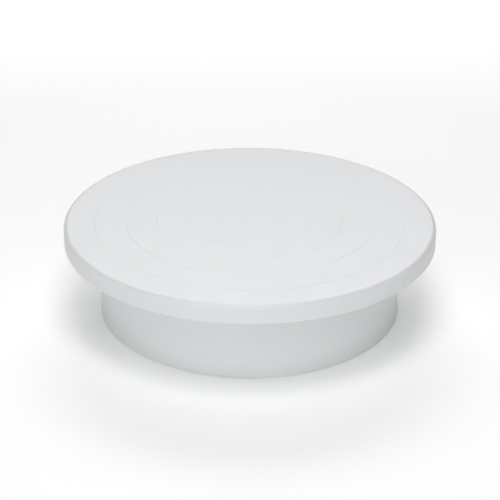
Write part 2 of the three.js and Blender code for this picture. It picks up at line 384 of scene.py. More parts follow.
def smoothed(piece: bpy.types.Object, crease: float = 35.0) -> bpy.types.Object:
    """Shades a piece smooth, with hard edges only where it really bends.

    Args:
        piece: The piece.
        crease: The least angle of a hard edge, in degrees.

    Returns:
        The piece itself.
    """
    piece.data.shade_smooth()
    piece.data.set_sharp_from_angle(angle=math.radians(crease))
    return piece


# ---------------------------------------------------------------------------
# Finishes
# ---------------------------------------------------------------------------


class Graph:
    """The node tree of one material, with short ways to add and join its nodes."""

    def __init__(self, name: str) -> None:
        """Starts a material with a bare shader.

        Args:
            name: The material's name.
        """
        self.material = bpy.data.materials.new(name)
        self.material.use_nodes = True
        self.tree = self.material.node_tree
        self.shader = next(n for n in self.tree.nodes if n.type == "BSDF_PRINCIPLED").inputs
        self.place = self.add("ShaderNodeTexCoord").outputs["Object"]

    def add(
        self, kind: str, inputs: dict[int | str, object] | None = None, **settings: object
    ) -> bpy.types.Node:
        """Adds a node.

        Args:
            kind: The node's type.
            inputs: Values or sockets for its inputs.
            **settings: Its other properties.

        Returns:
            The new node.
        """
        node = self.tree.nodes.new(kind)
        for key, value in settings.items():
            setattr(node, key, value)
        for key, value in (inputs or {}).items():
            self.feed(node.inputs[key], value)
        return node

    def feed(self, target: bpy.types.NodeSocket, value: object) -> None:
        """Joins a socket to another, or sets its value.

        Args:
            target: The input that is fed.
            value: A socket to join it to, or the value itself.
        """
        if isinstance(value, bpy.types.NodeSocket):
            self.tree.links.new(value, target)
        else:
            target.default_value = value

    def math(self, operation: str, *values: object) -> bpy.types.NodeSocket:
        """A maths node's result, from sockets or numbers."""
        return self.add("ShaderNodeMath", dict(enumerate(values)), operation=operation).outputs[0]

    def noise(self, size: float, detail: float = 2.0, place: object = None) -> bpy.types.NodeSocket:
        """Even noise from 0 to 1, its patches as wide as the size, with so many finer layers."""
        inputs = {"Vector": place or self.place, "Scale": 1 / size, "Detail": detail}
        return self.add("ShaderNodeTexNoise", inputs).outputs["Fac"]

    def ranged(self, value: object, band: Point, ends: Point) -> bpy.types.NodeSocket:
        """A value stretched so that its band reaches the two ends, and held between them."""
        return self.add("ShaderNodeMapRange", dict(enumerate((value, *band, *ends)))).outputs[0]

    def tinted(self, factor: object, first: object, second: Colour) -> bpy.types.NodeSocket:
        """A colour between two.

        Args:
            factor: How much of the second there is, from 0 to 1.
            first: The first colour, or a socket that gives it.
            second: The second colour.

        Returns:
            The mixed colour.
        """
        start = (*first, 1.0) if isinstance(first, tuple) else first
        inputs = {0: factor, 6: start, 7: (*second, 1.0)}
        return self.add("ShaderNodeMix", inputs, data_type="RGBA").outputs[2]

    def dressed(self, colour: object, roughness: object, normal: object) -> bpy.types.Material:
        """Feeds the shader.

        Args:
            colour: The surface's colour.
            roughness: Its roughness.
            normal: Its normal.

        Returns:
            The finished material.
        """
        for key, value in (("Base Color", colour), ("Roughness", roughness), ("Normal", normal)):
            self.feed(self.shader[key], value)
        return self.material

    def raised(self, height: object, depth: float, under: object = None) -> bpy.types.NodeSocket:
        """A surface normal that follows a height.

        Args:
            height: The height, from 0 to 1.
            depth: How high 1 is, in metres.
            under: Another normal that it adds to.

        Returns:
            The normal.
        """
        inputs = {"Height": height, "Distance": depth, "Strength": 1.0}
        if under is not None:
            inputs["Normal"] = under
        return self.add("ShaderNodeBump", inputs).outputs["Normal"]

    def radius(self) -> bpy.types.NodeSocket:
        """Distance from the turning axis.

        Returns:
            The distance, in metres.
        """
        flat = self.add("ShaderNodeVectorMath", {0: self.place, 1: (1, 1, 0)}, operation="MULTIPLY")
        length = self.add("ShaderNodeVectorMath", {0: flat.outputs[0]}, operation="LENGTH")
        return length.outputs["Value"]

    def height(self) -> bpy.types.NodeSocket:
        """Height above the table."""
        return self.add("ShaderNodeSeparateXYZ", {0: self.place}).outputs["Z"]


@dataclass(frozen=True)
class MouldedPlastic:
    """Satin moulded plastic: faint colour drift, eroded grain, slow sink marks, marks of use, and
    patches darker towards the foot edge.
    """

    name: str
    colour: Colour
    drift: Colour
    roughness: float
    roughness_spread: float = 0.05
    refraction: float = 1.49
    cloud_size: float = 90 * MM
    cloud_share: float = 0.65
    fleck_size: float = 1.6 * MM
    fleck_share: float = 0.35
    handled_size: float = 14 * MM
    grain_size: float = 0.45 * MM
    grain_depth: float = 0.012 * MM
    sink_size: float = 55 * MM
    sink_depth: float = 0.05 * MM
    scrape_pitch: float = 0.0
    scrape_depth: float = 0.010 * MM
    scrape_length: float = 35 * MM
    scrape_band: Point = (0.4, 0.65)
    # The colour, height, patch size, share and patch band below darken the surface in patches
    # towards the foot edge.
    dust: Colour = (0.62, 0.625, 0.61)
    foot_darkening_top: float = 0.0
    dust_size: float = 6 * MM
    dust_share: float = 0.25
    foot_darkening_patches: Point = (0.4, 1.0)
    rubbed: tuple[float, float] | None = None
    rubbed_reach: float = 5 * MM

    def material(self) -> bpy.types.Material:
        """Builds the finish.

        Returns:
            The material.
        """
        graph = Graph(self.name)
        graph.shader["IOR"].default_value = self.refraction
        return graph.dressed(self._colour(graph), self._roughness(graph), self._relief(graph))

    def _colour(self, graph: Graph) -> bpy.types.NodeSocket:
        """Colour that drifts in clouds and flecks, and is darker in patches towards the foot edge.

        Args:
            graph: The material's nodes.

        Returns:
            The colour.
        """
        cloud = graph.ranged(graph.noise(self.cloud_size, 3.0), MIDDLE_NOISE, (0.0, 1.0))
        fleck = graph.ranged(graph.noise(self.fleck_size, 2.0), MOST_NOISE, (0.0, self.fleck_share))
        drift = graph.math("MULTIPLY_ADD", cloud, self.cloud_share, fleck)
        colour = graph.tinted(drift, self.colour, self.drift)
        if not self.foot_darkening_top:
            return colour
        # Darker in patches towards the foot edge, fading out at the top height.
        depth = graph.ranged(graph.height(), (0.0, self.foot_darkening_top), (self.dust_share, 0.0))
        patch = graph.ranged(graph.noise(self.dust_size, 4.0), MOST_NOISE, self.foot_darkening_patches)
        return graph.tinted(graph.math("MULTIPLY", depth, patch), colour, self.dust)

    def _roughness(self, graph: Graph) -> bpy.types.NodeSocket:
        """Roughness that wanders a little, and is lower where hands polish the edge.

        Args:
            graph: The material's nodes.

        Returns:
            The roughness.
        """
        ends = (self.roughness - self.roughness_spread, self.roughness + self.roughness_spread)
        rough = graph.ranged(graph.noise(self.handled_size, 4.0), MOST_NOISE, ends)
        if self.rubbed is None:
            return rough
        from_edge = graph.math("ABSOLUTE", graph.math("SUBTRACT", graph.radius(), self.rubbed[0]))
        from_top = graph.math("ABSOLUTE", graph.math("SUBTRACT", graph.height(), self.rubbed[1]))
        away = graph.math("ADD", from_edge, from_top)
        polish = graph.ranged(away, (0.0, self.rubbed_reach), (2 * self.roughness_spread, 0.0))
        return graph.math("SUBTRACT", rough, polish)

    def _relief(self, graph: Graph) -> bpy.types.NodeSocket:
        """Eroded grain over slow sink marks, with faint broken rings where it was scraped clean.

        Args:
            graph: The material's nodes.

        Returns:
            The normal.
        """
        normal = graph.raised(graph.noise(self.sink_size, 1.0), self.sink_depth)
        if self.scrape_pitch:
            ring = graph.add("ShaderNodeCombineXYZ", {0: graph.radius()}).outputs[0]
            streak = graph.noise(self.scrape_length, 3.0)
            broken = graph.ranged(streak, self.scrape_band, (0.0, 1.0))
            scrape = graph.math("MULTIPLY", graph.noise(self.scrape_pitch, 3.0, ring), broken)
            normal = graph.raised(scrape, self.scrape_depth, normal)
        return graph.raised(graph.noise(self.grain_size, 3.0), self.grain_depth, normal)


@dataclass(frozen=True)
class PlainMetal:
    """Bare or plated steel with faint drawn lines and a little tarnish."""

    name: str
    colour: Colour
    tarnish: Colour
    roughness: float
    line_size: float
    line_depth: float
    cloud_size: float = 3 * MM
    cloud_band: Point = (0.35, 0.7)
    worn_size: float = 1.2 * MM
    worn_spread: Point = (0.8, 1.25)

    def material(self) -> bpy.types.Material:
        """Builds the finish.

        Returns:
            The material.
        """
        graph = Graph(self.name)
        graph.shader["Metallic"].default_value = 1.0
        cloud = graph.ranged(graph.noise(self.cloud_size, 3.0), self.cloud_band, (0.0, 1.0))
        ends = tuple(share * self.roughness for share in self.worn_spread)
        rough = graph.ranged(graph.noise(self.worn_size, 4.0), MOST_NOISE, ends)
        ring = graph.add("ShaderNodeCombineXYZ", {0: graph.radius(), 1: graph.height()}).outputs[0]
        lines = graph.raised(graph.noise(self.line_size, 2.0, ring), self.line_depth)
        return graph.dressed(graph.tinted(cloud, self.colour, self.tarnish), rough, lines)


@dataclass(frozen=True)
class Rubber:
    """Matt black rubber with moulding grain and dust in it."""

    name: str
    colour: Colour
    dust: Colour
    dust_size: float = 2.5 * MM
    dust_band: Point = (0.45, 0.75)
    dust_share: float = 0.6
    bloom_size: float = 1.5 * MM
    bloom_roughness: Point = (0.75, 0.95)
    grain_size: float = 0.5 * MM
    grain_depth: float = 0.02 * MM

    def material(self) -> bpy.types.Material:
        """Builds the finish.

        Returns:
            The material.
        """
        graph = Graph(self.name)
        patch = graph.noise(self.dust_size, 5.0)
        dusty = graph.ranged(patch, self.dust_band, (0.0, self.dust_share))
        rough = graph.ranged(graph.noise(self.bloom_size, 3.0), MOST_NOISE, self.bloom_roughness)
        grain = graph.raised(graph.noise(self.grain_size, 3.0), self.grain_depth)
        return graph.dressed(graph.tinted(dusty, self.colour, self.dust), rough, grain)


# ---------------------------------------------------------------------------
# The turntable
# ---------------------------------------------------------------------------


@dataclass(frozen=True)
class Part:
    """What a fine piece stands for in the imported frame."""

    name: str
    node: str
    body: str
    slot: str


def fitted(piece: bpy.types.Object, part: Part, material: bpy.types.Material) -> bpy.types.Object:
    """Dresses a piece and puts it in the place of its node.

    Args:
        piece: The piece.
        part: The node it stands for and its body.
        material: Its finish.

    Returns:
        The piece itself.
    """
    piece.name = part.name
    piece.data.name = part.name
    piece.data.materials.clear()
    piece.data.materials.append(material)
    smoothed(cleaned(piece))
    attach(piece, part.body)
    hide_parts(part.node)
    return piece


@dataclass(frozen=True)
class BearingSizes:
    """The ball bearing's sizes: the track, the ball's size and its height are read from the frame's
    first ball.
    """

    track: float
    ball: float
    height: float
    gap: float = 0.3 * MM
    land: float = 1.6 * MM
    groove_floor: float = 0.9 * MM
    half_width: float = 9 * MM
    count: int = 12

    @classmethod
    def from_frame(cls) -> "BearingSizes":
        """Reads the first ball's place and size.

        Returns:
            The bearing's sizes.
        """
        low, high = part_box("ball_01")
        middle = (low + high) / 2
        return cls(track=middle.x, ball=high.z - middle.z, height=middle.z)

    @property
    def inner(self) -> float:
        """Radius of the tracks' inner wall."""
        return self.track - self.half_width

    @property
    def outer(self) -> float:
        """Radius of the tracks' outer wall."""
        return self.track + self.half_width

    def groove(self, side: int, steps: int = 14) -> list[Corner]:
        """The track's groove, from its outer lip to its inner one.

        Args:
            side: 1 for the track above the balls, -1 for the one below.
            steps: Number of steps in the arc.

        Returns:
            The groove's corners.
        """
        size = self.ball + self.gap
        lip = math.asin(self.land / size)
        spokes = [lip + (math.pi - 2 * lip) * i / steps for i in range(steps + 1)]
        arc = [(size * math.cos(a), side * size * math.sin(a)) for a in spokes]
        return [Corner(self.track + across, self.height + up, smooth=True) for across, up in arc]

    def spots(self) -> list[float]:
        """The angle of each ball."""
        return even_turns(self.count)


@dataclass
class TopPlate:
    """The round plate: a flat skin with guide rings, a rim, ribs beneath and a spigot."""

    radius: float
    top: float
    bearing: BearingSizes
    skin: float = 3 * MM
    rim_depth: float = 15.2 * MM
    rim_wall: float = 2.8 * MM
    edge_radius: float = 3.6 * MM
    lip_radius: float = 0.8 * MM
    root_radius: float = 0.6 * MM
    ring_step: float = 25.4 * MM
    ring_width: float = 0.7 * MM
    ring_depth: float = 0.11 * MM
    ring_rounding: float = 0.15 * MM
    rib_root: float = 1.8 * MM
    rib_tip: float = 1.4 * MM
    rib_step: float = 0.3 * MM
    rib_sink: float = 0.6 * MM
    inner_ribs: int = 12
    outer_ribs: int = 24
    spigot_radius: float = 7 * MM
    spigot_clearance: float = 0.3 * MM
    pilot_radius: float = 2.5 * MM
    pilot_spare: float = 2 * MM
    steps: int = LARGE_STEPS
    finish: MouldedPlastic = field(init=False)

    def __post_init__(self) -> None:
        """Sets the finish, which is polished along the rounded edge."""
        self.finish = MouldedPlastic(
            name="plate_white_polypropylene",
            colour=(0.80, 0.812, 0.826),
            drift=(0.785, 0.798, 0.812),
            roughness=0.42,
            scrape_pitch=0.9 * MM,
            rubbed=(self.radius - self.edge_radius / 2, self.top - self.edge_radius / 2),
        )

    @property
    def underside(self) -> float:
        """Height of the skin's lower face."""
        return self.top - self.skin

    @property
    def rib_bottom(self) -> float:
        """Height of the ribs' lower edges."""
        return self.bearing.height + self.bearing.land + self.rib_step

    @property
    def rim_inner(self) -> float:
        """Radius of the rim's inner wall."""
        return self.radius - self.rim_wall

    def guide_rings(self) -> list[Corner]:
        """The fine V-shaped rings in the top face, from the middle outwards.

        Returns:
            Three corners for each ring.
        """
        count = int((self.radius - 2 * self.edge_radius) / self.ring_step)
        half = self.ring_width / 2
        corners: list[Corner] = []
        for ring in (self.ring_step * (i + 1) for i in range(count)):
            corners += [
                Corner(ring - half, self.top, self.ring_rounding),
                Corner(ring, self.top - self.ring_depth, self.ring_rounding),
                Corner(ring + half, self.top, self.ring_rounding),
            ]
        return corners

    def hoop_rib(self) -> list[Corner]:
        """The round rib halfway between the ball track and the rim.

        Returns:
            The rib's four corners.
        """
        middle = (self.bearing.outer + self.rim_inner) / 2
        wide, narrow = self.rib_root / 2, self.rib_tip / 2
        return [
            Corner(middle + wide, self.underside, self.root_radius),
            Corner(middle + narrow, self.rib_bottom, self.root_radius),
            Corner(middle - narrow, self.rib_bottom, self.root_radius),
            Corner(middle - wide, self.underside, self.root_radius),
        ]

    def upper_track(self) -> list[Corner]:
        """The moulded ring with the upper ball groove."""
        land = self.bearing.height + self.bearing.land
        return [
            Corner(self.bearing.outer, self.underside, self.root_radius),
            Corner(self.bearing.outer, land, self.root_radius),
            *self.bearing.groove(1),
            Corner(self.bearing.inner, land, self.root_radius),
            Corner(self.bearing.inner, self.underside, self.root_radius),
        ]

    def outline(self) -> list[Corner]:
        """The plate's half section, from the middle of its top to the roof of its pilot hole.

        Returns:
            The section's corners.
        """
        rim_bottom = self.top - self.rim_depth
        spigot_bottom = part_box("retaining_washer")[1].z + self.spigot_clearance
        pilot_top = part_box("retaining_screw")[1].z + self.pilot_spare
        return [
            Corner(0, self.top),
            *self.guide_rings(),
            Corner(self.radius, self.top, self.edge_radius),
            Corner(self.radius, rim_bottom, self.lip_radius),
            Corner(self.rim_inner, rim_bottom, self.lip_radius),
            Corner(self.rim_inner, self.underside, self.root_radius),
            *self.hoop_rib(),
            *self.upper_track(),
            Corner(self.spigot_radius, self.underside, 3 * self.root_radius),
            Corner(self.spigot_radius, spigot_bottom, self.root_radius),
            Corner(self.pilot_radius, spigot_bottom, self.root_radius),
            Corner(self.pilot_radius, pilot_top),
            Corner(0, pilot_top),
        ]

    def ribs(self, count: int, share: float, start: float, end: float) -> bpy.types.Object:
        """A ring of radial ribs under the skin.

        Args:
            count: Number of ribs.
            share: How far the pattern is turned, as a share of one step.
            start: Radius where the ribs start.
            end: Radius where they end.

        Returns:
            All the ribs in one object.
        """
        high = self.underside + self.rib_sink
        section = rib_section(self.rib_root, self.rib_tip, self.rib_bottom, high, self.root_radius)
        turns = even_turns(count, share)
        return merged("ribs", [extruded("rib", section, start, end, turn) for turn in turns])

    def build(self) -> list[bpy.types.Object]:
        """Makes the plate.

        Returns:
            The plate, in a list.
        """
        plate = turned("plate", Outline(self.outline(), closed=False).points(), self.steps)
        sink = self.rib_sink
        inner = self.ribs(self.inner_ribs, 0, self.spigot_radius - sink, self.bearing.inner + sink)
        outer = self.ribs(self.outer_ribs, 0.5, self.bearing.outer - sink, self.rim_inner + sink)
        combine(plate, [inner, outer], Cut.JOIN)
        part = Part("plate_moulding", "top_plate", "plate", "plate_plastic")
        return [fitted(plate, part, self.finish.material())]


@dataclass
class Retainer:
    """The washer and the screw that keep the plate on its base, seen from beneath."""

    washer_top: float
    screw_seat: float
    washer_radius: float = 15 * MM
    washer_hole: float = 2.5 * MM
    washer_thickness: float = 1.6 * MM
    washer_rounding: float = 0.35 * MM
    core_radius: float = 1.55 * MM
    thread_radius: float = 2.2 * MM
    thread_pitch: float = 1.8 * MM
    thread_width: float = 0.8 * MM
    thread_start: float = 1.5 * MM
    thread_steps: int = 28
    thread_fade: int = 12
    root_share: float = 0.6
    least_crest: float = 0.1
    least_width: float = 0.2
    length: float = 20 * MM
    tip_length: float = 4 * MM
    head_radius: float = 5 * MM
    head_height: float = 3 * MM
    crown_share: float = 0.62
    crown_rounding: float = 1.2 * MM
    side_share: float = 0.55
    side_rounding: float = 1.6 * MM
    seat_rounding: float = 0.3 * MM
    recess_length: float = 5 * MM
    recess_width: float = 1.2 * MM
    recess_depth: float = 1.6 * MM
    recess_floor: float = 0.6
    overcut: float = 1 * MM
    finish: PlainMetal = PlainMetal(
        name="bright_zinc_plate",
        colour=(0.60, 0.62, 0.65),
        tarnish=(0.50, 0.52, 0.54),
        roughness=0.32,
        line_size=0.25 * MM,
        line_depth=0.003 * MM,
    )

    @classmethod
    def from_frame(cls) -> "Retainer":
        """Reads the washer's and the screw's places."""
        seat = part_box("retaining_screw")[0].z + cls.head_height
        return cls(washer_top=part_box("retaining_washer")[1].z, screw_seat=seat)

    def washer(self) -> bpy.types.Object:
        """The plain steel washer.

        Returns:
            The washer.
        """
        hole, radius = self.washer_hole, self.washer_radius
        top, bottom = self.washer_top, self.washer_top - self.washer_thickness
        places = ((hole, bottom), (radius, bottom), (radius, top), (hole, top))
        corners = [Corner(r, z, self.washer_rounding) for r, z in places]
        return turned("washer", Outline(corners, closed=True).points(), RING_STEPS)

    def thread(self) -> bpy.types.Object:
        """The screw's helical thread, a ridge that fades out at both ends.

        Returns:
            The thread as a solid of its own.
        """
        rise = self.length - self.thread_start - self.tip_length
        count = int(self.thread_steps * rise / self.thread_pitch)
        root = self.root_share * self.core_radius
        depth = self.thread_radius - self.core_radius
        build = bmesh.new()
        rings = []
        for i in range(count + 1):
            angle = FULL_TURN * i / self.thread_steps
            fade = min(1.0, i / self.thread_fade, (count - i) / self.thread_fade)
            crest = self.core_radius + depth * max(fade, self.least_crest)
            middle = self.screw_seat + self.thread_start + self.thread_pitch * i / self.thread_steps
            half = self.thread_width / 2 * max(fade, self.least_width)
            ridge = ((root, middle - half), (crest, middle), (root, middle + half))
            spots = [(r * math.cos(angle), r * math.sin(angle), height) for r, height in ridge]
            rings.append([build.verts.new(spot) for spot in spots])
        for low, high in zip(rings, rings[1:]):
            for i in range(3):
                j = (i + 1) % 3
                build.faces.new((low[i], low[j], high[j], high[i]))
        build.faces.new(rings[0])
        build.faces.new(rings[-1])
        return linked("thread", mesh_of("thread", build))

    def screw(self) -> bpy.types.Object:
        """The pan-head screw, with its cross recess and its thread.

        Returns:
            The screw.
        """
        seat, under = self.screw_seat, self.screw_seat - self.head_height
        side = under + self.side_share * self.head_height
        corners = [
            Corner(0, under),
            Corner(self.crown_share * self.head_radius, under, self.crown_rounding),
            Corner(self.head_radius, side, self.side_rounding),
            Corner(self.head_radius, seat, self.seat_rounding),
            Corner(self.core_radius, seat, self.seat_rounding),
            Corner(self.core_radius, seat + self.length - self.tip_length, self.seat_rounding),
            Corner(0, seat + self.length),
        ]
        points = Outline(corners, closed=False, support=FINE_SUPPORT).points()
        screw = turned("screw", points, SMALL_STEPS)
        combine(screw, [self.thread()], Cut.JOIN)
        half_width, half_length = self.recess_width / 2, self.recess_length / 2
        low, high = under - self.overcut, under + self.recess_depth
        floor = self.recess_floor * half_width
        section = [(-half_width, low), (half_width, low), (floor, high), (-floor, high)]
        turns = (0, math.pi / 2)
        slots = [extruded("slot", section, -half_length, half_length, turn) for turn in turns]
        return combine(screw, slots, Cut.REMOVE)

    def build(self) -> list[bpy.types.Object]:
        """Makes the washer and the screw.

        Returns:
            Both pieces.
        """
        material = self.finish.material()
        washer = Part("zinc_washer", "retaining_washer", "plate", "zinc_steel")
        screw = Part("zinc_screw", "retaining_screw", "plate", "zinc_steel")
        return [fitted(self.washer(), washer, material), fitted(self.screw(), screw, material)]


@dataclass
class BaseShell:
    """The hollow drum: flared skirt, deck with the lower ball track, hub, ribs and foot bosses."""

    radius: float
    stand: float
    deck: float
    hub_bottom: float
    foot_circle: float
    bearing: BearingSizes
    wall: float = 2.8 * MM
    flare: float = 2.8 * MM
    edge_radius: float = 4 * MM
    lip_radius: float = 0.8 * MM
    root_radius: float = 0.8 * MM
    small_radius: float = 0.5 * MM
    bore_rounding: float = 0.4 * MM
    deck_thickness: float = 3 * MM
    hub_bore: float = 9.5 * MM
    hub_wall: float = 2.6 * MM
    rib_root: float = 2 * MM
    rib_tip: float = 1.6 * MM
    rib_depth: float = 6 * MM
    rib_sink: float = 0.6 * MM
    ribs: int = 12
    feet: int = 6
    boss_radius: float = 5.6 * MM
    boss_taper: float = 1.08
    boss_bottom: float = 3.1 * MM
    hole_radius: float = 3.2 * MM
    hole_top: float = 13.2 * MM
    flare_steps: int = 16
    steps: int = LARGE_STEPS
    finish: MouldedPlastic = MouldedPlastic(
        name="base_white_polypropylene",
        colour=(0.830, 0.858, 0.865),
        drift=(0.815, 0.850, 0.848),
        roughness=0.40,
        grain_depth=0.014 * MM,
        # Darker in patches up to 4 mm above the foot edge.
        foot_darkening_top=4 * MM,
    )

    @classmethod
    def from_frame(cls, bearing: BearingSizes) -> "BaseShell":
        """Reads the base's place from the frame.

        Args:
            bearing: The ball bearing that it carries.

        Returns:
            The base.
        """
        low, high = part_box("base_shell")
        foot_low, foot_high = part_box("foot_2")
        return cls(
            radius=high.x,
            stand=low.z,
            deck=bearing.height - bearing.ball - bearing.gap - bearing.groove_floor,
            hub_bottom=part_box("hub_bush")[0].z,
            foot_circle=(foot_low.y + foot_high.y) / 2,
            bearing=bearing,
        )

    @property
    def deck_underside(self) -> float:
        """Height of the deck's lower face."""
        return self.deck - self.deck_thickness

    @property
    def skirt_top(self) -> float:
        """Height where the skirt turns into the rounded edge."""
        return self.deck - self.edge_radius

    def skirt(self, offset: float, start: float, end: float) -> list[Corner]:
        """The skirt's curved wall between two heights, without its ends, moved in by an offset."""
        heights = [start + (end - start) * i / self.flare_steps for i in range(1, self.flare_steps)]
        return [Corner(self.skirt_radius(up) - offset, up, smooth=True) for up in heights]

    def skirt_radius(self, height: float) -> float:
        """The skirt's outer radius at a height."""
        share = min((height - self.stand) / (self.skirt_top - self.stand), 1.0)
        return self.radius - self.flare * (1 - (1 - share) ** 2)

    def lower_track(self) -> list[Corner]:
        """The moulded ring with the lower ball groove."""
        land = self.bearing.height - self.bearing.land
        return [
            Corner(self.bearing.outer, self.deck, self.root_radius),
            Corner(self.bearing.outer, land, self.root_radius),
            *self.bearing.groove(-1),
            Corner(self.bearing.inner, land, self.root_radius),
            Corner(self.bearing.inner, self.deck, self.root_radius),
        ]

    def outline(self) -> list[Corner]:
        """The base's half section, from the hub's lower end round by the skirt to the deck.

        Returns:
            The section's corners.
        """
        hub_radius, under = self.hub_bore + self.hub_wall, self.deck_underside
        lip_top, inner_radius = self.stand + self.lip_radius, 2 * self.root_radius
        return [
            Corner(self.hub_bore, self.hub_bottom, self.bore_rounding),
            Corner(hub_radius, self.hub_bottom, self.root_radius),
            Corner(hub_radius, under, inner_radius),
            Corner(self.skirt_radius(under) - self.wall, under, inner_radius),
            *self.skirt(self.wall, under - inner_radius, lip_top),
            Corner(self.radius - self.wall, self.stand, self.lip_radius),
            Corner(self.radius, self.stand, self.lip_radius),
            *self.skirt(0, lip_top, self.skirt_top),
            Corner(self.skirt_radius(self.deck), self.deck, self.edge_radius),
            *self.lower_track(),
            Corner(self.hub_bore, self.deck, self.bore_rounding),
        ]

    def envelope(self) -> bpy.types.Object:
        """Everything under the deck and inside the skirt's wall: it trims the ribs and the bosses.

        Returns:
            The envelope as a solid.
        """
        inner = self.hub_bore + self.hub_wall / 2
        top = self.deck_underside + self.rib_sink
        reach = self.wall - self.rib_sink
        corners = [
            Corner(inner, self.boss_bottom),
            Corner(self.skirt_radius(self.boss_bottom) - reach, self.boss_bottom),
            *self.skirt(reach, self.boss_bottom, top),
            Corner(self.skirt_radius(top) - reach, top),
            Corner(inner, top),
        ]
        return turned("envelope", [(c.radius, c.height) for c in corners], self.steps)

    def boss(self, turn: float) -> bpy.types.Object:
        """One foot boss with the web that ties it to the skirt.

        Args:
            turn: Angle of the boss about +Z, in radians.

        Returns:
            The boss as a solid.
        """
        corners = [
            Corner(0, self.boss_bottom),
            Corner(self.boss_radius, self.boss_bottom, self.small_radius),
            Corner(self.boss_taper * self.boss_radius, self.deck),
            Corner(0, self.deck),
        ]
        post = turned("boss", Outline(corners, closed=False).points(), HOLE_STEPS)
        half, low, high = self.rib_root / 2, self.boss_bottom, self.deck
        section = [(-half, low), (half, low), (half, high), (-half, high)]
        web = extruded("web", section, self.foot_circle, self.radius, turn)
        return combine(moved_out(post, turn, self.foot_circle), [web], Cut.JOIN)

    def inside(self) -> bpy.types.Object:
        """The ribs and bosses, trimmed to the space under the deck.

        Returns:
            All of them as one solid.
        """
        low = self.deck_underside - self.rib_depth
        section = rib_section(self.rib_root, self.rib_tip, low, self.deck, self.small_radius)
        turns = even_turns(self.ribs)
        bars = [extruded("rib", section, self.hub_bore, self.radius, turn) for turn in turns]
        ribs = merged("ribs", bars)
        bosses = merged("bosses", [self.boss(turn) for turn in self.foot_turns()])
        combine(ribs, [bosses], Cut.JOIN)
        return combine(ribs, [self.envelope()], Cut.KEEP_SHARED)

    def foot_turns(self) -> list[float]:
        """The angle of each foot about +Z."""
        return even_turns(self.feet, 0.5)

    def hole(self, turn: float) -> bpy.types.Object:
        """The blind hole for one foot's stem.

        Args:
            turn: Angle of the hole about +Z, in radians.

        Returns:
            The hole as a solid.
        """
        corners = [
            Corner(0, 0),
            Corner(self.hole_radius, 0),
            Corner(self.hole_radius, self.hole_top, self.small_radius),
            Corner(0, self.hole_top),
        ]
        hole = turned("hole", Outline(corners, closed=False).points(), HOLE_STEPS)
        return moved_out(hole, turn, self.foot_circle)

    def build(self) -> list[bpy.types.Object]:
        """Makes the base.

        Returns:
            The base, in a list.
        """
        shell = turned("base", Outline(self.outline(), closed=True).points(), self.steps)
        combine(shell, [self.inside()], Cut.JOIN)
        holes = merged("holes", [self.hole(turn) for turn in self.foot_turns()])
        combine(shell, [holes], Cut.REMOVE)
        part = Part("base_moulding", "base_shell", "base", "base_plastic")
        return [fitted(shell, part, self.finish.material())]


@dataclass
class HubBush:
    """The flanged bush in the hub tube."""

    bottom: float
    top: float
    radius: float
    bore: float = 7.3 * MM
    flange_thickness: float = 1.5 * MM
    body_radius: float = 9.2 * MM
    bore_rounding: float = 0.5 * MM
    entry_rounding: float = 0.7 * MM
    inner_rounding: float = 0.2 * MM
    flange_rounding: tuple[float, float] = (0.3 * MM, 0.4 * MM)
    finish: MouldedPlastic = MouldedPlastic(
        name="natural_acetal",
        colour=(0.80, 0.79, 0.74),
        drift=(0.77, 0.755, 0.69),
        roughness=0.28,
        grain_depth=0.003 * MM,
        scrape_pitch=0.5 * MM,
    )

    @classmethod
    def from_frame(cls) -> "HubBush":
        """Reads the bush's place from the frame."""
        low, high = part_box("hub_bush")
        return cls(bottom=low.z, top=high.z, radius=high.x)

    def build(self) -> list[bpy.types.Object]:
        """Makes the bush.

        Returns:
            The bush, in a list.
        """
        under = self.top - self.flange_thickness
        corners = [
            Corner(self.bore, self.bottom, self.bore_rounding),
            Corner(self.body_radius, self.bottom, self.entry_rounding),
            Corner(self.body_radius, under, self.inner_rounding),
            Corner(self.radius, under, self.flange_rounding[0]),
            Corner(self.radius, self.top, self.flange_rounding[1]),
            Corner(self.bore, self.top, self.bore_rounding),
        ]
        bush = turned("bush", Outline(corners, closed=True).points(), RING_STEPS)
        part = Part("bush_sleeve", "hub_bush", "base", "bush_acetal")
        return [fitted(bush, part, self.finish.material())]


